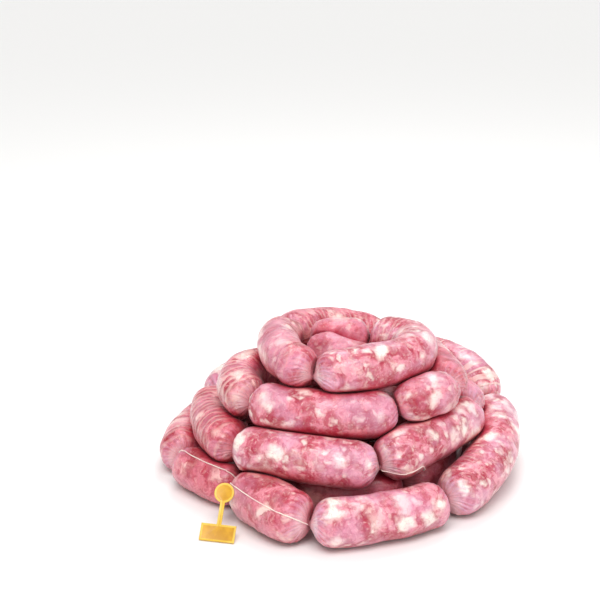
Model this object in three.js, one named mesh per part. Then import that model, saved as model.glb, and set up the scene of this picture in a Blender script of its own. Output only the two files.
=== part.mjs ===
// A string of fresh sausage links, coiled up in a heap.
// One long casing is filled and twisted shut between each link and the next, so the links follow each
// other along one line. It starts inside the lowest turn, runs out to the rim, and climbs anticlockwise,
// as seen from above, turn by turn to the ring of links on top. Twine runs along some of the links, and a
// plain tag hangs on one twist.
//
// Millimetres, +Z up. The heap stands on the plane z = 0, the origin is the centre of its footprint, and
// the front of the heap faces -Y.

import * as THREE from "three";

// Driving sizes of a link
const GIRTH = 34.5; // diameter of a middling link
const NECK_LENGTH = 1.7; // casing between a link's rounded end and the middle of the twist
const NECK_RADIUS = 1.8; // of the twisted casing
const END_LENGTH = 0.9; // of a rounded end, as a share of the link's radius
const END_BLUNTNESS = 2.2; // 2 is an ellipse, and more is flatter across the tip

// How the links lie
const FLOOR_SHARE = 0.93; // height of a lowest link's centre line, as a share of its radius
const REST_SHARE = 0.93; // links that lie on each other press in to this share of their radii
const GAP = 0.7; // clear space left between two pressed faces
const DROP = 0.22; // slope at which a link comes down past its last support
const SAG_PASSES = 400; // rounds of pulling a link taut over what holds it up
const SMOOTHING_PASSES = 6; // rounds of easing its centre line after that
const SQUEEZE_PASSES = 14; // halvings in the search for a pressed face

// How finely a link is drawn
const SIDES = 12; // corners of its cross section
const STEPS = 14; // steps along its centre line
const END_RINGS = [0.06, 0.22, 0.52, 1]; // places of the rings of a rounded end, from its tip
const RING_SPACING = 11.5; // of the rings between the two rounded ends

// Twine and tag
const TWINE_RADIUS = 0.5;
const TWINE_CLEARANCE = 0.75; // between the twine and the skin under it
const TWINE_SIDES = 5;
const TWINE_STEPS = 14;
const TIE_RADIUS = 2.35; // of a loop of thinner twine round a neck, to the middle of the twine
const TIE_TWINE_RADIUS = 0.3;
const TIE_STEPS = 14;
const TAG_THICKNESS = 1.2;
const TAG_DISC_RADIUS = 7;
const TAG_PLATE = [25, 12];
const TAG_STRAP = [3.2, 15.5]; // width, and length between plate and disc
const TAG_FOOT = [-86, -118.5, 0.3]; // where the plate's lower edge stands
const TAG_HEAD = [-81.5, -95.5, 26]; // where the middle of the disc leans

// The way of the string in plan, from where it starts. Each link runs from the last link's end to its
// own twist. It bows out to the right of its way by the length given, or it goes through the places given.
// It comes to rest on the links before it, but not on those that it lies beside.
const START = [8, -34];
const ROUTE = [
  // the middle and the inside of the lowest turn
  { name: "link_01", to: [18, 42], bow: 8, girth: 0.95 },
  { name: "link_02", to: [-54, 38], bow: 14, girth: 0.98 },
  { name: "link_03", to: [-42, -54], bow: 14, girth: 0.97 },
  { name: "link_04", to: [42, -62], bow: 15, girth: 1.0 },
  { name: "link_05", to: [76, 20], bow: 10, girth: 0.97 },
  // rim of the lowest turn
  { name: "link_06", to: [72, 95], bow: 18, girth: 0.98 },
  { name: "link_07", to: [-25, 110], bow: 12, girth: 1.0 },
  { name: "link_08", to: [-99, 55], bow: 14, girth: 0.97 },
  { name: "link_09", to: [-119, -28], bow: 9, girth: 1.0 },
  { name: "link_10", to: [-70, -71], bow: 4, girth: 0.9 },
  { name: "link_11", to: [-22, -124], bow: 4, girth: 1.13 },
  { name: "link_12", to: [72, -87], bow: 7, girth: 0.97 },
  { name: "link_13", to: [114, 42], bow: 19, girth: 1.04 },
  // second turn
  { name: "link_14", to: [50, 108], bow: 9, girth: 1.02 },
  { name: "link_15", to: [-40, 94], bow: 9, girth: 0.97 },
  { name: "link_16", to: [-96, 26], bow: 11, girth: 1.0 },
  { name: "link_17", to: [-74, -60], bow: 10, girth: 1.0 },
  { name: "link_18", to: [26, -86], bow: 11, girth: 1.0 },
  { name: "link_19", to: [97, -3], bow: 5, girth: 1.04 },
  // inside of the second turn
  { name: "link_20", to: [60, 46], bow: 7, girth: 0.95 },
  { name: "link_21", to: [-30, 46], bow: 6, girth: 0.97 },
  { name: "link_22", to: [-54, -26], bow: 10, girth: 0.96 },
  { name: "link_23", to: [12, -54], bow: 8, girth: 0.95 },
  { name: "link_24", to: [32, 26], bow: 12, girth: 0.98 },
  // third turn
  { name: "link_25", to: [-44, 20], bow: 3, girth: 0.92 },
  { name: "link_26", to: [-64, -46], through: [[-67, 6], [-76, -18]], girth: 0.98, drop: 0.08 },
  { name: "link_27", to: [38.5, -53], bow: 15, girth: 1.02 },
  { name: "link_28", to: [77, -28], bow: 7, girth: 0.93 },
  { name: "link_29", to: [35, 92], bow: 9, girth: 0.97 },
  // the ring on top, and the two links that fill it
  { name: "link_30", to: [-41, 30], bow: 18, girth: 1.0 },
  { name: "link_31", to: [-20, -58], bow: 15, girth: 0.92, beside: ["link_25"] },
  { name: "link_32", to: [22, 26], through: [[17, -48], [48, -26], [52, 6]], girth: 0.96, drop: 0.1 },
  { name: "link_33", to: [-24, 13], bow: 1, girth: 0.9, beside: ["link_30", "link_31"] },
  { name: "link_34", to: [28, -14], bow: 4, girth: 0.88, drop: 0.12, beside: ["link_31", "link_32"] },
];

// Plan points of a link: an arc of a circle from twist to twist, with its middle bowed out, or a smooth
// curve through the places it is given.
function planLine(from, to, bow, through) {
  if (through) {
    const places = [from, ...through, to].map(([x, y]) => new THREE.Vector2(x, y));
    return new THREE.SplineCurve(places).getSpacedPoints(STEPS);
  }
  const chord = new THREE.Vector2(to[0] - from[0], to[1] - from[1]);
  const middle = new THREE.Vector2((to[0] + from[0]) / 2, (to[1] + from[1]) / 2);
  const outward = new THREE.Vector2(chord.y, -chord.x).normalize().multiplyScalar(Math.sign(bow));
  const half = chord.length() / 2;
  const sagitta = Math.abs(bow);
  const radius = (half * half + sagitta * sagitta) / (2 * sagitta);
  const centre = middle.clone().addScaledVector(outward, sagitta - radius);
  const sweep = 2 * Math.asin(Math.min(1, half / radius));
  const halfSweep = (sagitta > half ? 2 * Math.PI - sweep : sweep) / 2;
  const along = chord.clone().normalize();
  return Array.from({ length: STEPS + 1 }, (_, k) => {
    const angle = halfSweep * ((2 * k) / STEPS - 1);
    return centre
      .clone()
      .addScaledVector(along, radius * Math.sin(angle))
      .addScaledVector(outward, radius * Math.cos(angle));
  });
}

// Half thickness of a link at a distance from its nearer twist: blunt and rounded at the end.
function halfThickness(radius, distance) {
  const inFromTip = THREE.MathUtils.clamp((distance - NECK_LENGTH) / (END_LENGTH * radius), 0, 1);
  return radius * (1 - (1 - inFromTip) ** END_BLUNTNESS) ** (1 / END_BLUNTNESS);
}

// Lays one link on the floor and on the links already laid, and gives its centre line in space.
function layDown(plan, radius, startHeight, laid, drop) {
  const distances = plan.map((p, k) => (k ? p.distanceTo(plan[k - 1]) : 0));
  const total = distances.reduce((sum, d) => sum + d, 0);
  let run = 0;
  const support = plan.map((p, k) => {
    run += distances[k];
    const mine = halfThickness(radius, Math.min(run, total - run));
    let height = radius * FLOOR_SHARE;
    for (const link of laid) {
      for (const q of link.line) {
        const reach = REST_SHARE * (mine + q.half);
        const apart = Math.hypot(p.x - q.x, p.y - q.y);
        if (apart < reach) height = Math.max(height, q.z + Math.sqrt(reach * reach - apart * apart));
      }
    }
    return height;
  });
  const last = plan.length - 1;
  const heights = support.slice();
  heights[0] = startHeight;
  for (let pass = 0; pass < SAG_PASSES; pass += 1) {
    for (let k = 1; k < last; k += 1) {
      heights[k] = Math.max(support[k], (heights[k - 1] + heights[k + 1]) / 2);
    }
    heights[last] = Math.max(support[last], heights[last - 1] - drop * distances[last]);
  }
  for (let pass = 0; pass < SMOOTHING_PASSES; pass += 1) {
    for (let k = 1; k < last; k += 1) {
      heights[k] = (heights[k - 1] + 2 * heights[k] + heights[k + 1]) / 4;
    }
  }
  return plan.map((p, k) => new THREE.Vector3(p.x, p.y, heights[k]));
}

// Every link's centre line, and the part of it, its spine, that its skin stands off from
const links = [];
let from = START;
let height = (GIRTH / 2) * FLOOR_SHARE;
for (const { name, to, bow, through, girth, drop = DROP, beside = [] } of ROUTE) {
  const radius = (GIRTH * girth) / 2;
  const below = links.slice(0, -1).filter((link) => !beside.includes(link.name));
  const points = layDown(planLine(from, to, bow, through), radius, height, below, drop);
  const curve = new THREE.CatmullRomCurve3(points, false, "centripetal");
  const length = curve.getLength();
  const line = points.map((p, k) => {
    const distance = (length * k) / STEPS;
    return { x: p.x, y: p.y, z: p.z, half: halfThickness(radius, Math.min(distance, length - distance)) };
  });
  const reach = (NECK_LENGTH + END_LENGTH * radius) / length;
  const spineShare = (k) => reach + ((1 - 2 * reach) * k) / STEPS;
  const spine = points.map((p, k) => curve.getPointAt(spineShare(k)));
  links.push({ name, radius, curve, length, line, spine });
  from = to;
  height = points[STEPS].z;
}

// Two links that follow each other share the plane of their twist, square to the mean of their ways.
links.forEach((link, k) => {
  const before = links[k - 1];
  const after = links[k + 1];
  link.startWay = link.curve.getTangentAt(0);
  link.endWay = link.curve.getTangentAt(1);
  if (before) link.startWay.add(before.curve.getTangentAt(1)).normalize();
  if (after) link.endWay.add(after.curve.getTangentAt(0)).normalize();
});

// The point of a link's spine that is nearest to a place.
const segment = new THREE.Line3();
function nearestOnSpine(spine, place) {
  let best = null;
  let least = Infinity;
  const found = new THREE.Vector3();
  for (let k = 1; k < spine.length; k += 1) {
    segment.set(spine[k - 1], spine[k]).closestPointToPoint(place, true, found);
    const distance = found.distanceTo(place);
    if (distance < least) {
      least = distance;
      best = found.clone();
    }
  }
  return { point: best, distance: least };
}

// Draws a point of a link's skin in towards its spine until it is clear of the floor and of every
// neighbour. Where two links press on each other they share the squeeze, so both go flat there.
function pressIn(place, link) {
  const { point: root } = nearestOnSpine(link.spine, place);
  const outward = place.clone().sub(root);
  const full = outward.length();
  outward.normalize();
  let reach = full;
  if (root.z + reach * outward.z < 0) reach = -root.z / outward.z;
  const probe = new THREE.Vector3();
  for (const other of links) {
    if (other === link) continue;
    const clear = (distance) => {
      probe.copy(root).addScaledVector(outward, distance);
      const apart = nearestOnSpine(other.spine, probe).distance;
      return apart / other.radius >= (distance + GAP) / link.radius || apart > other.radius + GAP;
    };
    if (clear(reach)) continue;
    let low = 0;
    let high = reach;
    for (let pass = 0; pass < SQUEEZE_PASSES; pass += 1) {
      const middle = (low + high) / 2;
      if (clear(middle)) low = middle;
      else high = middle;
    }
    reach = low;
  }
  return root.addScaledVector(outward, reach);
}

// Places round a circle that faces along a way, from its right-hand side over its top.
const UP = new THREE.Vector3(0, 0, 1);
function circleAround(centre, way, size, count) {
  const side = new THREE.Vector3().crossVectors(way, UP).normalize();
  const over = new THREE.Vector3().crossVectors(side, way);
  return Array.from({ length: count }, (_, k) => {
    const angle = (2 * Math.PI * (k + 0.5)) / count;
    const place = centre.clone().addScaledVector(side, size * Math.cos(angle));
    return place.addScaledVector(over, size * Math.sin(angle));
  });
}

// One link: a stuffed tube with rounded ends, pressed flat by what it touches, and a twisted neck at
// each end.
function linkGeometry(link) {
  const { radius, curve, length, startWay, endWay } = link;
  const rings = [];
  for (const share of END_RINGS) {
    const at = NECK_LENGTH + END_LENGTH * radius * share;
    rings.push({ at, size: halfThickness(radius, at) });
  }
  const bodyStart = NECK_LENGTH + END_LENGTH * radius;
  const bodyLength = length - 2 * bodyStart;
  const spaces = Math.max(2, Math.round(bodyLength / RING_SPACING));
  for (let k = 1; k < spaces; k += 1) rings.push({ at: bodyStart + (bodyLength * k) / spaces, size: radius });
  for (const ring of rings.slice(0, END_RINGS.length).reverse()) {
    rings.push({ ...ring, at: length - ring.at });
  }
  const positions = [];
  const addPoint = (p) => positions.push(p.x, p.y, Math.max(p.z, 0));
  const addSkinRing = ({ at, size }) => {
    const centre = curve.getPointAt(at / length);
    const way = curve.getTangentAt(at / length);
    for (const place of circleAround(centre, way, size, SIDES)) addPoint(pressIn(place, link));
  };
  const startFace = curve.getPointAt(0).addScaledVector(startWay, GAP / 2);
  const endFace = curve.getPointAt(1).addScaledVector(endWay, -GAP / 2);
  addPoint(startFace);
  circleAround(startFace, startWay, NECK_RADIUS, SIDES).forEach(addPoint);
  rings.forEach(addSkinRing);
  circleAround(endFace, endWay, NECK_RADIUS, SIDES).forEach(addPoint);
  addPoint(endFace);
  const faces = [];
  const corner = (ring, k) => 1 + ring * SIDES + (k % SIDES);
  const ringCount = rings.length + 2;
  const lastPoint = 1 + ringCount * SIDES;
  for (let k = 0; k < SIDES; k += 1) {
    faces.push(0, corner(0, k), corner(0, k + 1));
    for (let ring = 1; ring < ringCount; ring += 1) {
      faces.push(corner(ring - 1, k), corner(ring, k), corner(ring, k + 1));
      faces.push(corner(ring - 1, k), corner(ring, k + 1), corner(ring - 1, k + 1));
    }
    faces.push(corner(ringCount - 1, k), lastPoint, corner(ringCount - 1, k + 1));
  }
  const geometry = new THREE.BufferGeometry();
  geometry.setAttribute("position", new THREE.Float32BufferAttribute(positions, 3));
  geometry.setIndex(faces);
  return geometry;
}

// A tube of twine along a line of points.
function twineGeometry(points) {
  const section = new THREE.Shape(
    Array.from({ length: TWINE_SIDES }, (_, k) => {
      const angle = (2 * Math.PI * k) / TWINE_SIDES;
      return new THREE.Vector2(TWINE_RADIUS * Math.cos(angle), TWINE_RADIUS * Math.sin(angle));
    }),
  );
  const path = new THREE.CatmullRomCurve3(points, false, "centripetal");
  return new THREE.ExtrudeGeometry(section, { steps: TWINE_STEPS, bevelEnabled: false, extrudePath: path });
}

// Twine laid along a link's skin. It starts and stops short of the two twists by the lengths given, and
// the angle goes round the link from its right-hand side over its top.
function twineAlong(link, { start, stop, angle, turn = 0 }) {
  const points = Array.from({ length: TWINE_STEPS + 1 }, (_, k) => {
    const at = start + ((link.length - stop - start) * k) / TWINE_STEPS;
    const centre = link.curve.getPointAt(at / link.length);
    const tangent = link.curve.getTangentAt(at / link.length);
    const side = new THREE.Vector3().crossVectors(tangent, UP).normalize();
    const over = new THREE.Vector3().crossVectors(side, tangent);
    const round = THREE.MathUtils.degToRad(angle + (turn * k) / TWINE_STEPS);
    const skin = halfThickness(link.radius, Math.min(at, link.length - at));
    const out = skin + TWINE_CLEARANCE + TWINE_RADIUS;
    return centre.addScaledVector(side, out * Math.cos(round)).addScaledVector(over, out * Math.sin(round));
  });
  return twineGeometry(points);
}

// A loop of twine round the twist at a link's end.
function tieAround(link) {
  const geometry = new THREE.TorusGeometry(TIE_RADIUS, TIE_TWINE_RADIUS, TWINE_SIDES, TIE_STEPS);
  geometry.applyQuaternion(new THREE.Quaternion().setFromUnitVectors(new THREE.Vector3(0, 0, 1), link.endWay));
  const { x, y, z } = link.curve.getPointAt(1);
  return geometry.translate(x, y, z);
}

// The plain tag: a disc, a strap and a plate, cut from one flat sheet, that leans on the links.
function tagGeometry() {
  const [plateWidth, plateHeight] = TAG_PLATE;
  const [strapWidth, strapLength] = TAG_STRAP;
  const halfStrap = strapWidth / 2;
  const discAngle = Math.asin(halfStrap / TAG_DISC_RADIUS);
  const discCentre = plateHeight + strapLength + TAG_DISC_RADIUS * Math.cos(discAngle);
  const outline = new THREE.Shape();
  outline.moveTo(-plateWidth / 2, 0);
  outline.lineTo(plateWidth / 2, 0);
  outline.lineTo(plateWidth / 2, plateHeight);
  outline.lineTo(halfStrap, plateHeight);
  outline.absarc(0, discCentre, TAG_DISC_RADIUS, discAngle - Math.PI / 2, 1.5 * Math.PI - discAngle, false);
  outline.lineTo(-halfStrap, plateHeight);
  outline.lineTo(-plateWidth / 2, plateHeight);
  const geometry = new THREE.ExtrudeGeometry(outline, {
    depth: TAG_THICKNESS,
    bevelEnabled: false,
    curveSegments: 20,
  });
  const foot = new THREE.Vector3(...TAG_FOOT);
  const along = new THREE.Vector3(...TAG_HEAD).sub(foot).normalize();
  const across = new THREE.Vector3().crossVectors(along, UP).normalize();
  const face = new THREE.Vector3().crossVectors(across, along);
  const lean = new THREE.Matrix4().makeBasis(across, along, face).setPosition(foot);
  return geometry.applyMatrix4(lean);
}

const meat = new THREE.MeshStandardMaterial({ color: 0xd98a94, roughness: 0.35, metalness: 0 });
const twine = new THREE.MeshStandardMaterial({ color: 0xe9dcc4, roughness: 0.8, metalness: 0 });
const yellowPlastic = new THREE.MeshStandardMaterial({ color: 0xf0c419, roughness: 0.4, metalness: 0 });
const heap = new THREE.Group();
function addPart(name, geometry, material) {
  const mesh = new THREE.Mesh(geometry, material);
  mesh.name = name;
  heap.add(mesh);
}
for (const link of links) addPart(link.name, linkGeometry(link), meat);
const linkNamed = (name) => links.find((link) => link.name === name);
addPart("twine_10", twineAlong(linkNamed("link_10"), { start: 10, stop: 10, angle: 70 }), twine);
addPart("twine_11", twineAlong(linkNamed("link_11"), { start: 7, stop: 6, angle: 38, turn: -4 }), twine);
addPart("twine_19", twineAlong(linkNamed("link_19"), { start: 6, stop: 60, angle: -18 }), twine);
addPart("tie_26", tieAround(linkNamed("link_26")), twine);
addPart("tie_28", tieAround(linkNamed("link_28")), twine);
addPart("tag", tagGeometry(), yellowPlastic);

const footprint = new THREE.Box3().setFromObject(heap, true);
const middle = footprint.getCenter(new THREE.Vector3());
heap.position.set(-middle.x, -middle.y, 0);

export default heap;
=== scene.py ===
# %% [markdown]
# # A heap of fresh sausage links
# A butcher fills one long natural casing with coarse pork and twists it shut between each link and the
# next. The string lies coiled in a heap, and every link goes flat where it leans on its neighbours.
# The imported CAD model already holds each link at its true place. This lesson gives the links their
# smooth skin, their marbled meat and their moist look, and finishes the twine and the plain tag.

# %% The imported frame
import math

import bmesh
import bpy
import numpy as np
from mathutils import Matrix, Vector
from mathutils.bvhtree import BVHTree


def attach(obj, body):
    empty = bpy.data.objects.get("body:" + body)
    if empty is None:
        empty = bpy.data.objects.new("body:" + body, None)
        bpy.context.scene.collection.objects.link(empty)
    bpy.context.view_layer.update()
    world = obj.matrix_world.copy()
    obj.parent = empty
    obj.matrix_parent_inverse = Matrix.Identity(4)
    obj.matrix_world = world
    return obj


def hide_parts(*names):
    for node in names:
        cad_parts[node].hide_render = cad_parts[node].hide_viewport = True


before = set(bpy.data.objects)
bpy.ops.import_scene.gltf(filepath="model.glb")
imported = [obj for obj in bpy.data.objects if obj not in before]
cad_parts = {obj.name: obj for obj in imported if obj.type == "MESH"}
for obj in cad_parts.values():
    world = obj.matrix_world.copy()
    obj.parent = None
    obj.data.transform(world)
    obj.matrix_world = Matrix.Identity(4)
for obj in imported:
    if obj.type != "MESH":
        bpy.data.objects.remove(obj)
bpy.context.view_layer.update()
MM = 0.001
collection = bpy.context.scene.collection
link_names = sorted(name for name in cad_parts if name.startswith("link_"))
print(len(link_names), "links in the string")

# %% [markdown]
# ## The camera
# The photograph looks down on the heap from a metre away, through a long lens, and the heap sits right of
# and below the middle of the picture. A camera aimed at the heap by eye would do for a portrait. Here the
# place, turn and lens were fitted to where the links lie in the photograph, so that the two pictures can
# be set side by side.

# %% The camera
LENS = 79.2
CAMERA_PLACE = (0.00126, -0.90352, 0.47262)
CAMERA_TURN = (69.471, 0.637, 1.701)

camera_data = bpy.data.cameras.new("camera")
camera_data.sensor_width = 36
camera_data.lens = LENS
camera_data.clip_end = 50
camera = bpy.data.objects.new("camera", camera_data)
camera.location = CAMERA_PLACE
camera.rotation_euler = [math.radians(angle) for angle in CAMERA_TURN]
collection.objects.link(camera)
bpy.context.scene.camera = camera
print("the camera looks", round(90 - CAMERA_TURN[0]), "degrees down")

# %% [markdown]
# ## Rows of quads from loose triangles
# The CAD skin of a link is a net of 12 corners round and a ring every centimetre or so, cut into
# triangles. A subdivision surface is smoothest on quads. The net could be drawn anew, but it holds the
# flats where links lean on each other, so it is kept and only its diagonals come out. A ring's number is
# how many edges lie between it and the pole at one end of the link.

# %% A link's net
ROUND = 12
SAME_PLACE = 2e-6


def merged_net(node):
    """A CAD node's mesh as a bmesh with its shared corners merged."""
    net = bmesh.new()
    net.from_mesh(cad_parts[node].data)
    bmesh.ops.remove_doubles(net, verts=net.verts, dist=SAME_PLACE)
    return net


def ring_numbers(net):
    """Which ring each corner is on, counted from the pole at one of the link's ends."""
    poles = [v for v in net.verts if len(v.link_edges) == ROUND and len(v.link_faces) == ROUND]
    poles = [v for v in poles if all(len(e.other_vert(v).link_edges) <= 7 for e in v.link_edges)]
    number = {poles[0]: 0}
    front = [poles[0]]
    while front:
        following = []
        for v in front:
            for edge in v.link_edges:
                other = edge.other_vert(v)
                if other not in number:
                    number[other] = number[v] + 1
                    following.append(other)
        front = following
    return number


first_net = merged_net(link_names[0])
ring_count = max(ring_numbers(first_net).values()) + 1
print("the first link has", len(first_net.verts), "corners in", ring_count, "rings, poles included")
first_net.free()

# %% [markdown]
# Every strip between two rings has straight edges and diagonals in turn. Two edges that share a triangle
# are of different kinds, so a walk round the strip parts them, and the longer set is the diagonals.

# %% Diagonals out


def take_out_diagonals(net, number):
    """Leaves quads in every strip between two rings."""
    strips = {}
    last = max(number.values())
    for edge in net.edges:
        a, b = (number[v] for v in edge.verts)
        if a != b and min(a, b) > 0 and max(a, b) < last:
            strips.setdefault(min(a, b), []).append(edge)
    diagonals = []
    for edges in strips.values():
        members = set(edges)
        side = {edges[0]: 0}
        queue = [edges[0]]
        while queue:
            edge = queue.pop()
            for face in edge.link_faces:
                for other in face.edges:
                    if other in members and other not in side:
                        side[other] = 1 - side[edge]
                        queue.append(other)
        lengths = [sum(e.calc_length() for e in edges if side[e] == which) for which in (0, 1)]
        longer = lengths.index(max(lengths))
        diagonals += [e for e in edges if side[e] == longer]
    bmesh.ops.dissolve_edges(net, edges=diagonals, use_verts=False, use_face_split=False)


# %% [markdown]
# ## A smooth skin through the CAD corners
# A filled casing is taut and round, with no facets. A bevelled curve would be as round, but it would lose
# the flats, so the net is smoothed. Catmull-Clark smoothing pulls a surface inside its net, and a
# 12-sided link would come out 4 percent too thin. The corners are moved out first by what the limit
# surface falls short, three times over, and the smooth skin then runs through the CAD model's own corners.

# %% The smooth skin
LEVELS = 3
CORRECTIONS = 3


def subdivided(piece, levels):
    """The piece's mesh after smoothing, as a new mesh."""
    smooth = piece.modifiers.new("skin", "SUBSURF")
    smooth.levels = smooth.render_levels = levels
    smooth.use_limit_surface = True
    mesh = bpy.data.meshes.new_from_object(piece.evaluated_get(bpy.context.evaluated_depsgraph_get()))
    piece.modifiers.remove(smooth)
    return mesh


def places_of(mesh):
    """The places of a mesh's points, a row for each."""
    places = np.empty(len(mesh.vertices) * 3)
    mesh.vertices.foreach_get("co", places)
    return places.reshape(-1, 3)


def smooth_skin(piece, levels):
    """Gives the piece a smooth mesh that runs through the corners of its net."""
    wanted = places_of(piece.data)
    moved = wanted.copy()
    for _ in range(CORRECTIONS):
        trial = subdivided(piece, 1)
        moved += wanted - places_of(trial)[: len(wanted)]
        bpy.data.meshes.remove(trial)
        piece.data.vertices.foreach_set("co", moved.ravel())
        piece.data.update()
    net = piece.data
    piece.data = subdivided(piece, levels)
    bpy.data.meshes.remove(net)


# %% Every link, smooth
links = {}
middles = {}
for name in link_names:
    net = merged_net(name)
    number = ring_numbers(net)
    rings = {}
    for v, ring in number.items():
        rings.setdefault(ring, []).append(v.co.copy())
    middles[name] = np.array([np.mean([list(p) for p in rings[k]], axis=0) for k in sorted(rings)])
    take_out_diagonals(net, number)
    mesh = bpy.data.meshes.new("skin_" + name)
    net.to_mesh(mesh)
    net.free()
    piece = bpy.data.objects.new("skin_" + name, mesh)
    collection.objects.link(piece)
    smooth_skin(piece, LEVELS)
    links[name] = piece
print(len(links), "links,", sum(len(p.data.vertices) for p in links.values()), "points of skin")

# %% [markdown]
# ## Twisted necks
# The CAD model leaves a gap of 0.7 mm between one link and the next, where the real casing is a tight
# cord of twisted gut. A Screw modifier could twist a profile, but each neck needs its own place and way.
# So a short ribbed tube closes the gap: one ring of edges, extruded a few times, with a turn at each step
# and every second corner pulled in. It is shut at both ends and becomes part of the link's own mesh.

# %% A twisted neck
NECK_RADIUS = 1.9 * MM
NECK_HALF = 1.6 * MM
NECK_SIDES = 12
NECK_STEPS = 8
NECK_PINCH = 0.72
NECK_TURN = 0.32


def add_twisted_neck(net, centre, way):
    """Adds a ribbed, twisted tube to a link's mesh, along the way given and centred on a twist."""
    axis = Vector(way)
    foot = Vector(centre) - axis * NECK_HALF
    start = Matrix.Translation(foot) @ axis.to_track_quat("Z", "Y").to_matrix().to_4x4()
    ring = bmesh.ops.create_circle(
        net, cap_ends=True, segments=NECK_SIDES, radius=NECK_RADIUS, matrix=start
    )["verts"]
    edges = list({edge for v in ring for edge in v.link_edges})
    tube = {face for v in ring for face in v.link_faces}
    for v in ring[1::2]:
        v.co = foot + (v.co - foot) * NECK_PINCH
    for _ in range(NECK_STEPS):
        grown = bmesh.ops.extrude_edge_only(net, edges=edges)["geom"]
        ring = [g for g in grown if isinstance(g, bmesh.types.BMVert)]
        edges = [g for g in grown if isinstance(g, bmesh.types.BMEdge)]
        tube |= {g for g in grown if isinstance(g, bmesh.types.BMFace)}
        bmesh.ops.translate(net, verts=ring, vec=axis * (2 * NECK_HALF / NECK_STEPS))
        bmesh.ops.rotate(net, verts=ring, cent=centre, matrix=Matrix.Rotation(NECK_TURN, 3, axis))
    tube |= set(bmesh.ops.contextual_create(net, geom=edges)["faces"])
    bmesh.ops.recalc_face_normals(net, faces=list(tube))


# %% [markdown]
# The necks can only go in when every link's middle line is known. The rings of a link are counted from
# either of its ends, so each line is first turned round to run the way the string runs.

# %% The string's order
for before, after in zip(link_names, link_names[1:]):
    ends = [(i, j) for i in (0, -1) for j in (0, -1)]
    apart = [np.linalg.norm(middles[before][i] - middles[after][j]) for i, j in ends]
    near_end, near_start = ends[int(np.argmin(apart))]
    if near_end == 0 and before == link_names[0]:
        middles[before] = middles[before][::-1]
    if near_start == -1:
        middles[after] = middles[after][::-1]
string_length = sum(np.linalg.norm(np.diff(line, axis=0), axis=1).sum() for line in middles.values())
print("the string is", round(float(string_length), 2), "m long")

# %% The necks
twists = {}
for before, after in zip(link_names, link_names[1:]):
    centre = (middles[before][-1] + middles[after][0]) / 2
    way = (middles[before][-1] - middles[before][-2]) + (middles[after][1] - middles[after][0])
    way = Vector(way).normalized()
    twists[before] = (centre, way)
    net = bmesh.new()
    net.from_mesh(links[before].data)
    add_twisted_neck(net, centre, way)
    net.to_mesh(links[before].data)
    net.free()
for piece in links.values():
    piece.data.polygons.foreach_set("use_smooth", [True] * len(piece.data.polygons))
print(len(twists), "necks")

# %% [markdown]
# ## Where a point of skin lies
# The wrinkles, the pleats at a twist and the painted shade in the crease between two links all depend on
# where a point of skin lies on its link: how far along it is, how far round, how near a twist, on which
# side of a bend and how near to another link. A UV map could hold two of these. Here each is measured once
# from the link's middle line, and kept on the mesh as an attribute that the material reads by name.

# %% Places on a link


def along_line(points, line):
    """For each point, the nearest place on a line: how far off, how far along, the place and the way."""
    starts = line[:-1]
    ways = line[1:] - line[:-1]
    lengths = np.linalg.norm(ways, axis=1)
    run = np.concatenate([[0], np.cumsum(lengths)])
    best = np.full(len(points), np.inf)
    along = np.zeros(len(points))
    foot = np.zeros_like(points)
    way = np.zeros_like(points)
    for k, (start, step, length) in enumerate(zip(starts, ways, lengths)):
        share = np.clip((points - start) @ step / length**2, 0, 1)
        place = start + share[:, None] * step
        distance = np.linalg.norm(points - place, axis=1)
        nearer = distance < best
        best[nearer] = distance[nearer]
        along[nearer] = run[k] + share[nearer] * length
        foot[nearer] = place[nearer]
        way[nearer] = step / length
    return best, along, foot, way, run[-1]


def keep(piece, name, values):
    """Stores one number for each point of a piece."""
    attribute = piece.data.attributes.new(name, "FLOAT", "POINT")
    attribute.data.foreach_set("value", np.asarray(values, dtype=np.float32))


def soft_step(values, low, high):
    """Goes from 0 to 1 between low and high, with an easy start and end."""
    share = np.clip((values - low) / (high - low), 0, 1)
    return share * share * (3 - 2 * share)


def unit(vectors):
    """The same ways with a length of 1."""
    return vectors / np.maximum(np.linalg.norm(vectors, axis=1), 1e-9)[:, None]


# %% [markdown]
# A link's spine is its middle line without the rounded ends. A place is then as far from the link as it
# is from the spine, less half the girth, also beyond the link's end.

# %% Girths and spines
SPINE_POINTS = 14
half_girths = {}
spines = {}
for name in link_names:
    line = middles[name]
    distance, along, _, _, length = along_line(places_of(links[name].data), line)
    middle_part = (along > 0.3 * length) & (along < 0.7 * length)
    half_girths[name] = float(np.percentile(distance[middle_part], 90))
    run = np.concatenate([[0], np.cumsum(np.linalg.norm(np.diff(line, axis=0), axis=1))])
    rounded = 0.9 * half_girths[name]
    places = np.linspace(rounded, length - rounded, SPINE_POINTS)
    spines[name] = np.stack([np.interp(places, run, line[:, axis]) for axis in range(3)], axis=1)
print("girths in mm:", sorted(round(2000 * g, 1) for g in half_girths.values()))

# %% [markdown]
# ## Open air
# Meat deep in the heap gets little light and looks dark red, and so does the crease where two links
# touch. The renderer's shadows show some of this, and the rest is painted into the skin's colour as shade.
# So each point measures how near the next link is, and what share of the open air it sees past all the
# others.
# Another link hides a share that grows with its size as seen from the point and with how much it is
# faced. The floor hides a little as well.

# %% What a point of skin sees
OUT_OF_REACH = 60 * MM
FLOOR_REACH = 16 * MM
FLOOR_SHARE = 0.45


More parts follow.
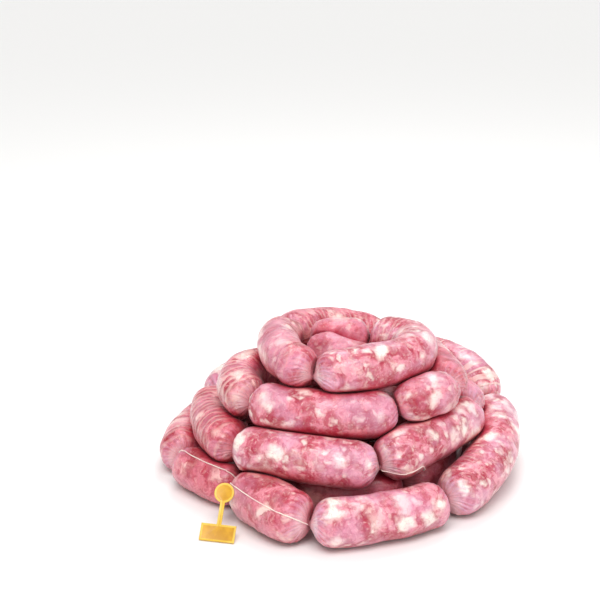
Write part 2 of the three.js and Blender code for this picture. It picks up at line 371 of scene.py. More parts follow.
def seen_past_others(name, points, outward):
    """How near each point of a link is to the others, and what share of open air it sees."""
    near = np.full(len(points), 1.0)
    open_air = np.ones(len(points))
    for other in link_names:
        between = np.linalg.norm(spines[other][:, None] - spines[name][None], axis=2)
        if other == name or np.min(between) > OUT_OF_REACH:
            continue
        apart, _, foot, _, _ = along_line(points, spines[other])
        near = np.minimum(near, apart - half_girths[other])
        size = np.clip(half_girths[other] / np.maximum(apart, 1e-6), 0, 1)
        facing = np.sum(outward * unit(foot - points), axis=1)
        hidden = size**1.3 * np.clip((facing + 0.3 * size) / (1 + 0.3 * size), 0, 1)
        open_air *= 1 - hidden
    open_air *= 1 - FLOOR_SHARE * (1 - outward[:, 2]) * np.exp(-points[:, 2] / FLOOR_REACH)
    return near, open_air


# %% [markdown]
# ## Lumps and pleats
# Coarse meat fills the casing unevenly, so the skin is lumpy by most of a millimetre. At a twist the
# casing gathers in pleats that lean round with the twist. Sculpting would give both by hand. A sum of
# sine waves gives the same lumps on each run, and the sine of the way round gives the pleats. The lumps
# fade out where another link lies close, so that the pressed faces stay clear of each other.

# %% Unevenness
rng = np.random.default_rng(7)
LUMP = 0.62 * MM
PLEAT = 0.55 * MM
PLEATS_ROUND = 16
LARGE_LUMP = 26 * MM
SMALL_LUMP = 12 * MM


def waves(points, size, count=12):
    """A smooth, seeded unevenness between about -1 and 1, with bumps of the size given."""
    total = np.zeros(len(points))
    for _ in range(count):
        way = rng.normal(size=3)
        way /= np.linalg.norm(way)
        pace = 2 * math.pi / size * rng.uniform(0.7, 1.3)
        total += np.sin(points @ way * pace + rng.uniform(0, 2 * math.pi))
    return total / math.sqrt(count)


def pleats_round(lean):
    """How high the pleats stand at a way round the twist, from -0.6 to 0.4."""
    phase = rng.uniform(0, 2 * math.pi)
    return np.abs(np.sin(PLEATS_ROUND / 2 * lean + phase + 0.9 * np.sin(3 * lean + phase))) - 0.6


def way_round(outward, way):
    """The angle of each point round its link, from the side."""
    side = unit(np.cross(way, (0, 0, 1)))
    over = np.cross(side, way)
    return np.arctan2(np.sum(outward * over, axis=1), np.sum(outward * side, axis=1))


def inside_of_bend(name, outward):
    """How far each point faces the inside of its link's bend, from 0 to 1, and less on a straight link."""
    line = middles[name]
    bulge = line[len(line) // 2] - (line[0] + line[-1]) / 2
    depth = float(np.linalg.norm(bulge))
    facing = outward @ (bulge / max(depth, 1e-6))
    return np.clip(0.25 - facing, 0, 1) * min(1, depth / (20 * MM))


# %% [markdown]
# No two links are filled alike, so some are more wrinkled and some have more fat than others. The links
# that show have the shares that the photograph gives them, where 1 is much. The rest get a little
# wrinkling and a random share of fat.

# %% Wrinkles and fat, link by link
LITTLE_WRINKLED = 0.12
WRINKLED = {
    "link_09": 0.6,
    "link_13": 0.15,
    "link_14": 1.0,
    "link_16": 0.9,
    "link_17": 1.0,
    "link_26": 1.0,
    "link_31": 0.35,
}
FATNESS = {
    "link_09": 0.35,
    "link_10": 0.20,
    "link_11": 0.40,
    "link_12": 0.75,
    "link_13": 1.15,
    "link_14": 0.85,
    "link_17": 0.20,
    "link_18": 1.00,
    "link_19": 1.15,
    "link_26": 0.45,
    "link_27": 0.65,
    "link_28": 0.60,
    "link_31": 0.45,
    "link_32": 0.95,
    "link_33": 0.30,
    "link_34": 0.45,
}
print(len(WRINKLED), "wrinkled links,", len(FATNESS), "links with a chosen share of fat")

# %% Lumps, pleats and measures on every link
for name in link_names:
    piece = links[name]
    points = places_of(piece.data)
    distance, along, foot, way, length = along_line(points, middles[name])
    outward = unit(points - foot)
    to_twist = np.minimum(along, length - along)
    near, open_air = seen_past_others(name, points, outward)
    lumps = LUMP * (0.65 * waves(points, LARGE_LUMP) + 0.35 * waves(points, SMALL_LUMP))
    lean = way_round(outward, way) + 0.05 * to_twist / MM
    free = soft_step(near, 0.3 * MM, 3 * MM)
    gather = soft_step(to_twist, 1.5 * MM, 5 * MM) * (1 - soft_step(to_twist, 6 * MM, 19 * MM))
    move = lumps * (0.15 + 0.85 * free) + PLEAT * pleats_round(lean) * gather * (0.4 + 0.6 * free)
    move *= soft_step(distance, 2.2 * MM, 4 * MM)
    points += outward * move[:, None]
    points[:, 2] = np.maximum(points[:, 2], 0)
    piece.data.vertices.foreach_set("co", points.ravel())
    piece.data.update()
    wrinkle = inside_of_bend(name, outward) + WRINKLED.get(name, LITTLE_WRINKLED)
    any_fatness = rng.uniform(0.2, 0.8)
    keep(piece, "along", along / MM)
    keep(piece, "round", np.cos(lean))
    keep(piece, "over", np.sin(lean))
    keep(piece, "to_twist", to_twist / MM)
    keep(piece, "near", np.clip(near / MM, -3, 60))
    keep(piece, "open_air", open_air)
    keep(piece, "wrinkle", np.clip(wrinkle, 0, 1))
    keep(piece, "fatness", np.full(len(points), FATNESS.get(name, any_fatness)))
print("measures kept on the last link:", [a.name for a in piece.data.attributes if a.domain == "POINT"])

# %% [markdown]
# ## Shader helpers
# A material could be wired by hand in the node editor. Written out, each node is one call and each link
# between two sockets is the value of an input, so every finish below reads like a recipe.

# %% Nodes and sums


def new_node(tree, kind, settings=None, inputs=None):
    """A node with its settings, and each input either linked or set."""
    node = tree.nodes.new(kind)
    for key, value in (settings or {}).items():
        setattr(node, key, value)
    for key, value in (inputs or {}).items():
        if isinstance(value, bpy.types.NodeSocket):
            tree.links.new(value, node.inputs[key])
        else:
            node.inputs[key].default_value = value
    return node


def maths(tree, operation, a, b=0.0, clamp=False):
    """A step of arithmetic on one or two numbers."""
    settings = {"operation": operation, "use_clamp": clamp}
    return new_node(tree, "ShaderNodeMath", settings, {0: a, 1: b}).outputs[0]


def vector_maths(tree, operation, inputs, output="Vector"):
    """A step of arithmetic on vectors."""
    return new_node(tree, "ShaderNodeVectorMath", {"operation": operation}, inputs).outputs[output]


def span(tree, value, low, high, to_low=0.0, to_high=1.0):
    """Maps low and high to new values, with an easy start and end."""
    sizes = {"Value": value, "From Min": low, "From Max": high, "To Min": to_low, "To Max": to_high}
    settings = {"interpolation_type": "SMOOTHSTEP"}
    return new_node(tree, "ShaderNodeMapRange", settings, sizes).outputs["Result"]


def blend(tree, share, a, b, kind="MIX"):
    """The share of colour b laid over colour a."""
    settings = {"data_type": "RGBA", "blend_type": kind}
    return new_node(tree, "ShaderNodeMix", settings, {0: share, 6: a, 7: b}).outputs[2]


# %% Textures, measures and colours


def noise(tree, vector, scale, detail=2.0, roughness=0.5, distortion=0.0):
    """A noise between 0 and 1, with so many bumps to a metre."""
    inputs = {
        "Vector": vector,
        "Scale": scale,
        "Detail": detail,
        "Roughness": roughness,
        "Distortion": distortion,
    }
    return new_node(tree, "ShaderNodeTexNoise", None, inputs).outputs["Fac"]


def object_place(tree):
    """The place on the piece, in metres, which for a finished piece is its place in the frame."""
    return new_node(tree, "ShaderNodeTexCoord").outputs["Object"]


def stored(tree, name):
    """A measure that was kept on the mesh."""
    return new_node(tree, "ShaderNodeAttribute", {"attribute_name": name}).outputs["Fac"]


def colour(r, g, b):
    """A colour named by its screen values from 0 to 255, as the linear colour that shaders use."""
    return [((c / 255 + 0.055) / 1.055) ** 2.4 if c > 10 else c / 255 / 12.92 for c in (r, g, b)] + [1.0]


print("a rosy pink for the shaders:", [round(c, 3) for c in colour(226, 146, 162)])

# %% Materials and groups


def new_material(name):
    """A material with one Principled shader."""
    material = bpy.data.materials.new(name)
    material.use_nodes = True
    tree = material.node_tree
    tree.nodes.clear()
    shader = tree.nodes.new("ShaderNodeBsdfPrincipled")
    output = tree.nodes.new("ShaderNodeOutputMaterial")
    tree.links.new(shader.outputs[0], output.inputs[0])
    return material, tree, shader


def add_relief(tree, shader, height, strength, distance):
    """Feeds a height to the shader's normal, through a Bump node."""
    inputs = {"Strength": strength, "Distance": distance, "Height": height}
    bump = new_node(tree, "ShaderNodeBump", None, inputs)
    tree.links.new(bump.outputs[0], shader.inputs["Normal"])


def new_group(name, inputs, outputs):
    """A node group with named sockets, and the sockets inside it that values come in and go out by."""
    tree = bpy.data.node_groups.new(name, "ShaderNodeTree")
    for title, kind in inputs:
        tree.interface.new_socket(title, in_out="INPUT", socket_type="NodeSocket" + kind)
    for title, kind in outputs:
        tree.interface.new_socket(title, in_out="OUTPUT", socket_type="NodeSocket" + kind)
    return tree, tree.nodes.new("NodeGroupInput").outputs, tree.nodes.new("NodeGroupOutput").inputs


# %% [markdown]
# ## Coarse meat
# Coarsely minced pork is rosy meat with deep red pieces of lean and soft-edged pieces of white fat, from
# crumbs to lumps of a centimetre. Noise alone gives clouds, not pieces. Cells with a random share of fat
# and a rounded fall-off give pieces, and a warp of the coordinates makes them irregular. The group gives
# the colour, the share of fat and a height, so that any meat can use it.

# %% The marbling group
ROSY = colour(226, 146, 162)
LEAN = colour(188, 62, 86)
DEEP_LEAN = colour(168, 28, 56)
WHITE_FAT = colour(250, 236, 226)
RED_FLECK = colour(176, 44, 74)
PALE_FLECK = colour(252, 222, 220)
WARP = 14 * MM


def warped_place(tree, vector):
    """The place given, moved about by a noise."""
    swirl = new_node(tree, "ShaderNodeTexNoise", None, {"Vector": vector, "Scale": 110.0, "Detail": 3.0})
    centred = vector_maths(tree, "SUBTRACT", {0: swirl.outputs["Color"], 1: (0.5, 0.5, 0.5)})
    shift = vector_maths(tree, "SCALE", {0: centred, "Scale": WARP})
    return vector_maths(tree, "ADD", {0: vector, 1: shift})


def pieces(tree, place, more, scale, channel, least, core, rim):
    """Soft-edged blobs in those cells whose random number, and what is added to it, is above the least."""
    cells = new_node(tree, "ShaderNodeTexVoronoi", {"feature": "F1"}, {"Vector": place, "Scale": scale})
    pick = new_node(tree, "ShaderNodeSeparateColor", None, {0: cells.outputs["Color"]}).outputs[channel]
    chosen = span(tree, maths(tree, "ADD", pick, more), least, least + 0.06)
    body = span(tree, cells.outputs["Distance"], core, rim, 1.0, 0.0)
    return maths(tree, "MULTIPLY", chosen, body)


def marbling_group():
    outputs = [("Color", "Color"), ("Fat", "Float"), ("Height", "Float")]
    tree, given, result = new_group("coarse_meat", [("Vector", "Vector"), ("Fat", "Float")], outputs)
    place = warped_place(tree, given["Vector"])
    more = maths(tree, "MULTIPLY", maths(tree, "SUBTRACT", given["Fat"], 0.5), 0.4)
    large = pieces(tree, place, more, 58.0, 0, 0.52, 0.16, 0.50)
    middling = pieces(tree, place, more, 118.0, 1, 0.60, 0.12, 0.46)
    crumbs = pieces(tree, place, more, 290.0, 2, 0.55, 0.06, 0.45)
    haze = span(tree, noise(tree, place, 62.0, 4.0, 0.62), 0.50, 0.74)
    fat = maths(tree, "MAXIMUM", large, maths(tree, "MULTIPLY", middling, 0.75))
    fat = maths(tree, "MAXIMUM", fat, maths(tree, "MULTIPLY", crumbs, 0.30))
    fat = maths(tree, "ADD", fat, maths(tree, "MULTIPLY", haze, 0.40), True)
    lean = span(tree, noise(tree, place, 120.0, 5.0, 0.62), 0.40, 0.62)
    deep = pieces(tree, place, more, 66.0, 2, 0.50, 0.12, 0.52)
    deep = maths(tree, "MAXIMUM", deep, span(tree, noise(tree, place, 58.0, 4.0, 0.60), 0.49, 0.61))
    flecks = noise(tree, place, 420.0, 3.0, 0.65)
    base = blend(tree, lean, ROSY, LEAN)
    base = blend(tree, maths(tree, "MULTIPLY", deep, 0.92), base, DEEP_LEAN)
    base = blend(tree, fat, base, WHITE_FAT)
    base = blend(tree, span(tree, flecks, 0.56, 0.72, 0.0, 0.45), base, RED_FLECK)
    base = blend(tree, span(tree, flecks, 0.44, 0.28, 0.0, 0.40), base, PALE_FLECK)
    height = maths(tree, "ADD", maths(tree, "MULTIPLY", fat, 0.5), maths(tree, "MULTIPLY", lean, -0.25))
    tree.links.new(base, result["Color"])
    tree.links.new(fat, result["Fat"])
    tree.links.new(height, result["Height"])
    return tree


coarse_meat = marbling_group()
print("coarse_meat has", len(coarse_meat.nodes), "nodes")

# %% [markdown]
# ## Natural casing
# The casing is a thin, moist gut. It veils the meat in pale lilac, most where it is gathered at a twist,
# it has fine veins, and where it isn't stretched it lies in folds. The folds run round the link, so they
# are a sine wave of the way along it, with a noise that makes them waver and another that breaks them
# up. At a twist a noise is read round the link only, which gives pleats that run into the twist.

# %% The casing group
FOLD_PACE = 1.15  # radians to a millimetre, which is a fold every 5.5 mm
WAVER = 11.0  # radians by which the noise shifts the wave


def folds_round(tree, place):
    """Folds where the link is wrinkled, from 0 to 1."""
    along = maths(tree, "MULTIPLY", stored(tree, "along"), FOLD_PACE)
    waver = maths(tree, "MULTIPLY", noise(tree, place, 48.0, 2.5, 0.5), WAVER)
    ridge = span(tree, maths(tree, "SINE", maths(tree, "ADD", along, waver)), -0.1, 0.95)
    ridge = maths(tree, "MULTIPLY", ridge, span(tree, noise(tree, place, 50.0), 0.36, 0.54))
    return maths(tree, "MULTIPLY", ridge, stored(tree, "wrinkle"))


def pleats_at_twist(tree):
    """Pleats that fade out 15 mm from a twist, from 0 to 1."""
    ways_round = {0: stored(tree, "round"), 1: stored(tree, "over")}
    around = new_node(tree, "ShaderNodeCombineXYZ", None, ways_round).outputs[0]
    at_twist = span(tree, stored(tree, "to_twist"), 3.5, 15.0, 1.0, 0.0)
    return maths(tree, "MULTIPLY", at_twist, span(tree, noise(tree, around, 6.5, 2.0), 0.42, 0.62))


def casing_group():
    outputs = [("Veil", "Float"), ("Fold", "Float"), ("Vein", "Float"), ("Height", "Float")]
    tree, given, result = new_group("natural_casing", [("Vector", "Vector")], outputs)
    place = given["Vector"]
    folds = folds_round(tree, place)
    pleats = pleats_at_twist(tree)
    patch = span(tree, noise(tree, place, 34.0, 3.0, 0.6), 0.43, 0.62)
    veil = maths(tree, "MULTIPLY", patch, 0.46)
    veil = maths(tree, "ADD", veil, maths(tree, "MULTIPLY", pleats, 0.60), True)
    tangle = noise(tree, place, 60.0, 4.0, 0.65, 1.2)
    thread = maths(tree, "ABSOLUTE", maths(tree, "SUBTRACT", tangle, 0.5))
    vein = span(tree, thread, 0.0, 0.018, 1.0, 0.0)
    height = maths(tree, "MULTIPLY", maths(tree, "ADD", folds, pleats), 1.4)
    height = maths(tree, "ADD", height, maths(tree, "MULTIPLY", vein, 0.25))
    tree.links.new(veil, result["Veil"])
    tree.links.new(folds, result["Fold"])
    tree.links.new(vein, result["Vein"])
    tree.links.new(height, result["Height"])
    return tree


natural_casing = casing_group()
print("natural_casing has", len(natural_casing.nodes), "nodes")

# %% [markdown]
# ## The finish of a link
# Meat and casing come together in one Principled shader. A second shader for the casing over the meat
# would be truer, but a veil of colour looks the same at this thickness. Light goes a little way into
# both, so the shader has subsurface scattering, more in red. A clear coat is the moisture. The deeper a
# place lies in the heap and the nearer it is to another link, the darker and redder the shade painted into
# its colour.

# %% The colour of the skin
LILAC_VEIL = colour(224, 170, 198)
PALE_FOLD = colour(242, 214, 206)
VIOLET_VEIN = colour(180, 96, 130)
WHITE_GUT = colour(246, 222, 226)
LEAN_TINT = colour(238, 160, 166)
# Tints for painted shade: deep in the heap, and in the crease where two links touch.
SHADE_TINT = colour(236, 124, 134)
DEEP_SHADE_TINT = colour(120, 30, 48)
CREASE_SHADE_RED = colour(198, 46, 74)
CREASE_SHADE_DARK = colour(140, 14, 40)


def skin_colour(tree, meat, casing, fatness):
    """The meat's colour with the casing laid over it, with painted shade where the link lies close or deep.
    """
    skin = blend(tree, casing["Veil"], meat["Color"], LILAC_VEIL)
    skin = blend(tree, maths(tree, "MULTIPLY", casing["Fold"], 0.62), skin, PALE_FOLD)
    skin = blend(tree, maths(tree, "MULTIPLY", casing["Vein"], 0.30), skin, VIOLET_VEIN)
    skin = blend(tree, span(tree, stored(tree, "to_twist"), 1.5, 6.0, 0.75, 0.0), skin, WHITE_GUT)
    skin = blend(tree, span(tree, fatness, 0.0, 0.9, 0.65, 0.0), skin, LEAN_TINT, "MULTIPLY")
    # Painted shade: darker and redder where the point sees little open air past the other links and the
    # floor.
    shade = span(tree, stored(tree, "open_air"), 0.05, 0.75, 1.0, 0.0)
    skin = blend(tree, maths(tree, "MULTIPLY", shade, 0.80), skin, SHADE_TINT, "MULTIPLY")
    depth = span(tree, stored(tree, "open_air"), 0.02, 0.36, 1.0, 0.0)
    skin = blend(tree, maths(tree, "MULTIPLY", depth, 0.92), skin, DEEP_SHADE_TINT, "MULTIPLY")
    # Painted shade in the crease where another link lies close.
    skin = blend(tree, span(tree, stored(tree, "near"), 0.5, 7.0, 0.50, 0.0), skin, CREASE_SHADE_RED)
    return blend(tree, span(tree, stored(tree, "near"), -0.5, 1.6, 0.70, 0.0), skin, CREASE_SHADE_DARK)


# %% The sausage finish


def sausage_finish():
    material, tree, shader = new_material("sausage")
    place = object_place(tree)
    fatness = stored(tree, "fatness")
    meat = new_node(tree, "ShaderNodeGroup", {"node_tree": coarse_meat}, {"Vector": place, "Fat": fatness})
    casing = new_node(tree, "ShaderNodeGroup", {"node_tree": natural_casing}, {"Vector": place})
    skin = skin_colour(tree, meat.outputs, casing.outputs, fatness)
    tree.links.new(skin, shader.inputs["Base Color"])
    shader.inputs["Subsurface Weight"].default_value = 0.30
    shader.inputs["Subsurface Radius"].default_value = (0.6, 0.22, 0.18)
    shader.inputs["Subsurface Scale"].default_value = 4 * MM
    shader.inputs["IOR"].default_value = 1.42
    shader.inputs["Coat Weight"].default_value = 0.4
    shader.inputs["Coat Roughness"].default_value = 0.2
    shader.inputs["Sheen Weight"].default_value = 0.1
    shader.inputs["Sheen Roughness"].default_value = 0.4
    shader.inputs["Sheen Tint"].default_value = (1.0, 0.85, 0.88, 1.0)
    damp = noise(tree, place, 160.0, 3.0, 0.6)
    tree.links.new(span(tree, damp, 0.3, 0.7, 0.28, 0.50), shader.inputs["Roughness"])
    grain = noise(tree, place, 650.0, 3.0, 0.6)
    height = maths(tree, "ADD", meat.outputs["Height"], maths(tree, "MULTIPLY", grain, 0.2))
    height = maths(tree, "ADD", height, casing.outputs["Height"])
    add_relief(tree, shader, height, 0.7, 0.6 * MM)
    return material


sausage = sausage_finish()
for name in link_names:
    piece = links[name]
    piece.data.materials.clear()
    piece.data.materials.append(sausage)
    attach(piece, "root")
    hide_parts(name)
print(len(link_names), "links dressed")

# %% [markdown]
# ## Twine
# Thin cotton twine runs from twist to twist over some of the links. The CAD model holds it as a five-sided
# tube a little above the skin. Its mesh could be rounded as it is, but it would float, and twine has a
# lay. So its middle line is read back from the tube, led on into the twists at its ends, and laid down on
# the finished skin. Two strands are then wound round that line.

# %% The line of the twine
STRAND = 0.24 * MM
LAY = 2.4 * MM
TUBE_SIDES = 5


def tube_middle(node):
    """The middle line of a five-sided CAD tube, from one end to the other."""
    net = merged_net(node)
    places = np.array([list(v.co) for v in net.verts])
    net.free()
    far = places[np.argmax(np.linalg.norm(places - places.mean(axis=0), axis=1))]
    order = np.argsort(np.linalg.norm(places - far, axis=1))
    groups = places[order][: len(places) // TUBE_SIDES * TUBE_SIDES].reshape(-1, TUBE_SIDES, 3)
    return groups.mean(axis=1)


def even_line(points, step):
    """A smooth line through the points, with a point every step."""
    points = np.asarray(points, dtype=float)
    padded = np.vstack([2 * points[0] - points[1], points, 2 * points[-1] - points[-2]])
    fine = []
    for a, b, c, d in zip(padded, padded[1:], padded[2:], padded[3:]):
        for share in np.linspace(0, 1, 12, endpoint=False):
            bend = (2 * a - 5 * b + 4 * c - d) * share**2 + (3 * b - a - 3 * c + d) * share**3
            fine.append(0.5 * (2 * b + (c - a) * share + bend))
    fine = np.array(fine + [points[-1]])
    run = np.concatenate([[0], np.cumsum(np.linalg.norm(np.diff(fine, axis=0), axis=1))])
    places = np.linspace(0, run[-1], max(3, int(run[-1] / step)))
    return np.stack([np.interp(places, run, fine[:, axis]) for axis in range(3)], axis=1)


def lay_on(line, piece, height):
    """Moves a line to a height above a piece's skin."""
    mesh = piece.data
    tree = BVHTree.FromPolygons([v.co for v in mesh.vertices], [p.vertices for p in mesh.polygons])
    laid = []
    for point in line:
        place, normal, _, _ = tree.find_nearest(Vector(point))
        laid.append(list(place + normal * height))
    laid = np.array(laid)
    for _ in range(3):
        laid[1:-1] = (laid[:-2] + 2 * laid[1:-1] + laid[2:]) / 4
    return laid


# %% [markdown]
# Each strand is a curve with a round bevel. A curve is the quick way to a thin round thread, and its
# mesh is taken before anything else is done with it, because the export needs meshes.

# %% Two strands


def wound_twine(name, line, strand=STRAND, lay=LAY):
    """Two strands of twine wound round a line, as one mesh."""
    ways = unit(np.gradient(line, axis=0))
    side = unit(np.cross(ways, (0.31, 0.24, 0.92)))
    over = np.cross(ways, side)
    run = np.concatenate([[0], np.cumsum(np.linalg.norm(np.diff(line, axis=0), axis=1))])
    curve = bpy.data.curves.new(name, "CURVE")
    curve.dimensions = "3D"
    curve.bevel_depth = strand
    curve.bevel_resolution = 1
    curve.use_fill_caps = True
    for start in (0, math.pi):
        turn = 2 * math.pi * run / lay + start
        strand_line = line + strand * 0.9 * (side * np.cos(turn)[:, None] + over * np.sin(turn)[:, None])
        spline = curve.splines.new("POLY")
        spline.points.add(len(line) - 1)
        spline.points.foreach_set("co", np.hstack([strand_line, np.ones((len(line), 1))]).ravel())
    holder = bpy.data.objects.new(name, curve)
    collection.objects.link(holder)
    mesh = bpy.data.meshes.new_from_object(holder.evaluated_get(bpy.context.evaluated_depsgraph_get()))
    bpy.data.objects.remove(holder)
    piece = bpy.data.objects.new(name, mesh)
    collection.objects.link(piece)
    mesh.polygons.foreach_set("use_smooth", [True] * len(mesh.polygons))
    return piece


# %% [markdown]
# The stretches differ in where they end. Two go from twist to twist. The third comes from a twist, runs
# low along its link, and slips under it.

# %% The three stretches
KNOT_RADIUS = 2.4 * MM
SHOWN_SHARE = 0.52
SLIP_STEPS = ((3, 12), (6, 28), (9, 50), (11, 75))
twine_pieces = []


def neck_side(link, end, toward):
    """A place on the neck at one end of a link, on the side toward a point."""
    centre = middles[link][end]
    before = middles[link][1] if end == 0 else middles[link][-2]
    way = (before - centre) / np.linalg.norm(before - centre)
    aside = toward - centre
    aside -= way * (aside @ way)
    return centre + aside / np.linalg.norm(aside) * KNOT_RADIUS + way * 0.4 * MM


def slip_under(line, link):
    """Places that lead a line on from its last point and down round its link."""
    _, _, foot, way, _ = along_line(line[-1:], middles[link])
    out = Vector(line[-1] - foot[0])
    places = []
    for step, angle in SLIP_STEPS:
        turned = []
        for sign in (-1, 1):
            arm = out.copy()
            arm.rotate(Matrix.Rotation(math.radians(sign * angle), 3, Vector(way[0])))
            turned.append(arm)
        lower = min(turned, key=lambda arm: arm.z)
        places.append(foot[0] + way[0] * step * MM + np.array(lower))
    return places


def stretch_along(node, link, to_the_end):
    line = tube_middle(node)
    if np.linalg.norm(line[0] - middles[link][0]) > np.linalg.norm(line[-1] - middles[link][0]):
        line = line[::-1]
    if to_the_end:
        points = [neck_side(link, 0, line[0]), *line, neck_side(link, -1, line[-1])]
    else:
        line = line[: int(SHOWN_SHARE * len(line))]
        points = [neck_side(link, 0, line[0]), *line, *slip_under(line, link)]
    laid = lay_on(even_line(points, 0.3 * MM), links[link], 2.0 * STRAND)
    piece = wound_twine("twine_on_" + link, laid)
    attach(piece, "root")
    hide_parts(node)
    twine_pieces.append(piece)
    length = float(np.sum(np.linalg.norm(np.diff(laid, axis=0), axis=1)))
    print(node, "is", round(length / MM), "mm long")


stretch_along("twine_10", "link_10", True)
stretch_along("twine_11", "link_11", True)
stretch_along("twine_19", "link_19", False)

# %% [markdown]
# ## Ties
# Two twists are bound with three turns of finer thread. A ring would do from afar, but a real tie is a
# spiral with two cut ends. The ends come out of the spiral, run over the rounded end of one of the two
# links and hang to the front.

# %% The ties
THIN = 0.14 * MM
THIN_LAY = 1.6 * MM
TIE_TURNS = 3
TIE_RADIUS = 2.35 * MM
TO_THE_FRONT = (0.0, -0.85, -0.5)
CUT_ENDS = ((-0.30, 88), (0.15, 70))


def spiral_round(centre, way):
    """The line of a tie's turns round a twist."""
    side = np.cross(way, (0, 0, 1))
    side /= np.linalg.norm(side)
    over = np.cross(side, way)
    angles = np.linspace(0, 2 * math.pi * TIE_TURNS, 90)
    heights = np.linspace(-0.55, 0.55, len(angles)) * MM
    spiral = side * np.cos(angles)[:, None] + over * np.sin(angles)[:, None]
    return centre + heights[:, None] * way + TIE_RADIUS * spiral


def cut_end(centre, way, host, back, lean, sweep):
    """The line of a cut end from a twist over the rounded end of a link, as far as the sweep in degrees."""
    hang = np.array(TO_THE_FRONT)
    hang -= way * (hang @ way)
    hang /= np.linalg.norm(hang)
    out = hang * math.cos(lean) + np.cross(way, hang) * math.sin(lean)
    points = []
    for angle in np.radians(np.linspace(8, sweep, 8)):
        share = back * 0.9 * (1 - math.cos(angle)) + out * math.sin(angle)
        points.append(centre + half_girths[host] * share)
    return lay_on(even_line(points, 0.25 * MM), links[host], 2.0 * THIN)


def tie_round(node, link, host):
    centre, way = twists[link]
    way = np.array(way)
    back = way * (-1 if host == link else 1)
    parts = [wound_twine(node + "_turns", spiral_round(centre, way), THIN, THIN_LAY)]
    for end, (lean, sweep) in enumerate(CUT_ENDS):
        line = cut_end(centre, way, host, back, lean, sweep)
        parts.append(wound_twine(node + "_end_" + str(end), line, THIN, THIN_LAY))
    net = bmesh.new()
    for part in parts:
        net.from_mesh(part.data)
    net.to_mesh(parts[0].data)
    net.free()
    for part in parts[1:]:
        bpy.data.objects.remove(part)
    parts[0].data.polygons.foreach_set("use_smooth", [True] * len(parts[0].data.polygons))
    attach(parts[0], "root")
    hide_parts(node)
    twine_pieces.append(parts[0])


tie_round("tie_26", "link_26", "link_27")
tie_round("tie_28", "link_28", "link_28")
print(len(twine_pieces), "pieces of twine")

# %% [markdown]
# The twine is undyed cotton. It has soaked up a little pink from the meat, in patches. Its fibres are too
# fine to model, so a fine noise in the colour, the roughness and the bump stands for them, and a sheen
# for the fuzz.

# %% The twine finish
COTTON = colour(250, 240, 228)
SOAKED_COTTON = colour(240, 204, 204)
FIBRE_SHADE = colour(214, 184, 170)


def twine_finish():
    material, tree, shader = new_material("twine")
    place = object_place(tree)
    soaked = span(tree, noise(tree, place, 90.0, 2.0), 0.40, 0.65)
    fibre = noise(tree, place, 2600.0, 2.0, 0.6)
    shade = blend(tree, soaked, COTTON, SOAKED_COTTON)
    shade = blend(tree, span(tree, fibre, 0.35, 0.65, 0.0, 0.35), shade, FIBRE_SHADE)
    tree.links.new(shade, shader.inputs["Base Color"])
    tree.links.new(span(tree, fibre, 0.2, 0.8, 0.65, 0.9), shader.inputs["Roughness"])
    shader.inputs["Sheen Weight"].default_value = 0.5
    shader.inputs["Sheen Roughness"].default_value = 0.5
    add_relief(tree, shader, fibre, 0.5, 0.1 * MM)
    return material


cotton = twine_finish()
for piece in twine_pieces:
    piece.data.materials.clear()
    piece.data.materials.append(cotton)
print("twine dressed in", cotton.name)

# %% [markdown]
# ## The plain tag
# The tag is one thin moulding of yellow plastic: a disc, a strap and a bare plate. It could be cut from a
# flat shape with a Solidify modifier, but the CAD model has its outline already. Its two large faces are
# inset and sunk a little, which leaves the raised rim that a mould gives, and every edge is rounded. The
# rim and the sunk faces are lit and shaded copies of one yellow: painted paler on the rim as light, and
# deeper on the sunk faces as shade in the recess.

# %% The tag's shape
RIM = 1.4 * MM
SUNK = 0.3 * MM
ROUNDED = 0.18 * MM


def plain_tag():
    net = merged_net("tag")
    bmesh.ops.dissolve_limit(net, angle_limit=math.radians(2), verts=net.verts, edges=net.edges)
    large = sorted(net.faces, key=lambda f: f.calc_area())[-2:]
    bmesh.ops.inset_region(net, faces=large, thickness=RIM, use_even_offset=True)
    for face in large:
        bmesh.ops.translate(net, verts=face.verts, vec=-face.normal * SUNK)
        face.material_index = 1
    sharp = [e for e in net.edges if len(e.link_faces) == 2 and e.calc_face_angle(0) > math.radians(25)]
    bmesh.ops.bevel(net, geom=sharp, offset=ROUNDED, affect="EDGES", segments=2, profile=0.5, material=-1)
    bmesh.ops.recalc_face_normals(net, faces=net.faces)
    mesh = bpy.data.meshes.new("plain_tag")
    net.to_mesh(mesh)
    net.free()
    piece = bpy.data.objects.new("plain_tag", mesh)
    collection.objects.link(piece)
    mesh.polygons.foreach_set("use_smooth", [True] * len(mesh.polygons))
    mesh.set_sharp_from_angle(angle=math.radians(35))
    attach(piece, "root")
    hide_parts("tag")
    return piece


tag = plain_tag()
print("the tag has", len(tag.data.polygons), "faces")

# %% The tag's finish


def tag_finish(name, light, dark):
    material, tree, shader = new_material(name)
    place = object_place(tree)
    cloud = noise(tree, place, 120.0, 3.0, 0.55)
    shade = blend(tree, span(tree, cloud, 0.35, 0.65), light, dark)
    tree.links.new(shade, shader.inputs["Base Color"])
    scuffs = noise(tree, place, 900.0, 3.0, 0.6)
    tree.links.new(span(tree, scuffs, 0.3, 0.7, 0.28, 0.42), shader.inputs["Roughness"])
    shader.inputs["Subsurface Weight"].default_value = 0.15
    shader.inputs["Subsurface Radius"].default_value = (1.0, 0.6, 0.1)
    shader.inputs["Subsurface Scale"].default_value = 1.5 * MM
    add_relief(tree, shader, scuffs, 0.15, 0.2 * MM)
    return material


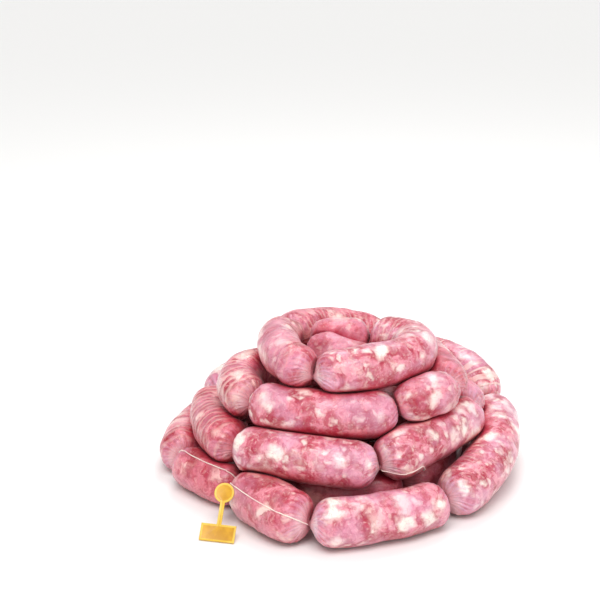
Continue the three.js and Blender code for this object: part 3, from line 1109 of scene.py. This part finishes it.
# Painted light and shade: the rim gets the paler yellow as lit, the sunk faces the deeper yellow as shaded.
tag.data.materials.append(tag_finish("tag_plastic", colour(228, 190, 70), colour(218, 176, 48)))
tag.data.materials.append(tag_finish("tag_face", colour(212, 158, 22), colour(194, 138, 10)))
print("the tag's materials:", [material.name for material in tag.data.materials])

# %% [markdown]
# ## The stage
# The heap stands on a plain white floor. Right under it, where no floor shows from outside, the floor is
# painted dark red as shade, so that a gap between two links looks as deep as it is. A picture of a studio
# could light the heap, but a plain bright sky and four lamps are enough for soft light from all round.

# %% The floor
WHITE_FLOOR = colour(243, 243, 242)
UNDER_HEAP_SHADE = colour(120, 30, 44)
HEAP_MIDDLE = (0.012, 0.005, 0.0)

floor_net = bmesh.new()
bmesh.ops.create_grid(floor_net, x_segments=1, y_segments=1, size=4)
floor_mesh = bpy.data.meshes.new("floor")
floor_net.to_mesh(floor_mesh)
floor_net.free()
floor = bpy.data.objects.new("floor", floor_mesh)
collection.objects.link(floor)
floor_paint, floor_tree, floor_shader = new_material("floor")
from_middle = vector_maths(floor_tree, "DISTANCE", {0: object_place(floor_tree), 1: HEAP_MIDDLE}, "Value")
# Painted shade: a dark red disc on the floor under the heap, where only shade lies.
shaded_under_heap = span(floor_tree, from_middle, 90 * MM, 102 * MM, 1.0, 0.0)
floor_tree.links.new(blend(floor_tree, shaded_under_heap, WHITE_FLOOR, UNDER_HEAP_SHADE), floor_shader.inputs["Base Color"])
floor_shader.inputs["Roughness"].default_value = 0.7
floor_mesh.materials.append(floor_paint)
print("floor:", len(floor_mesh.polygons), "face")

# %% [markdown]
# The key light comes from above and a little in front, so the shadows lie soft under the heap. A weaker
# one fills from the right. Two area lamps, one behind and one in front, give the moist casing its
# glints. The plain Standard view keeps the pinks as clean as a bright product photograph does.

# %% The light
SKY = (1.0, 0.99, 0.985, 1)
SKY_STRENGTH = 0.62
AIM = Vector((0, 0, 0.05))

world = bpy.data.worlds.new("world")
bpy.context.scene.world = world
world.use_nodes = True
world.node_tree.nodes["Background"].inputs[0].default_value = SKY
world.node_tree.nodes["Background"].inputs[1].default_value = SKY_STRENGTH


def lamp(kind, name, place, power, size):
    """A lamp aimed at the heap. The size is an angle for a sun, and a width for an area lamp."""
    light = bpy.data.lights.new(name, kind)
    light.energy = power
    if kind == "SUN":
        light.angle = size
    else:
        light.size = size
    holder = bpy.data.objects.new(name, light)
    holder.location = place
    holder.rotation_euler = (AIM - Vector(place)).to_track_quat("-Z", "Y").to_euler()
    collection.objects.link(holder)


lamp("SUN", "key", (0.1, -0.45, 1.15), 1.18, 0.6)
lamp("SUN", "fill", (0.9, -0.7, 0.6), 0.42, 0.9)
lamp("AREA", "window", (0.1, 0.45, 0.85), 3.0, 0.5)
lamp("AREA", "glint", (-0.2, -0.55, 0.75), 2.0, 0.35)
bpy.context.scene.view_settings.view_transform = "Standard"
print(len(bpy.data.lights), "lamps")
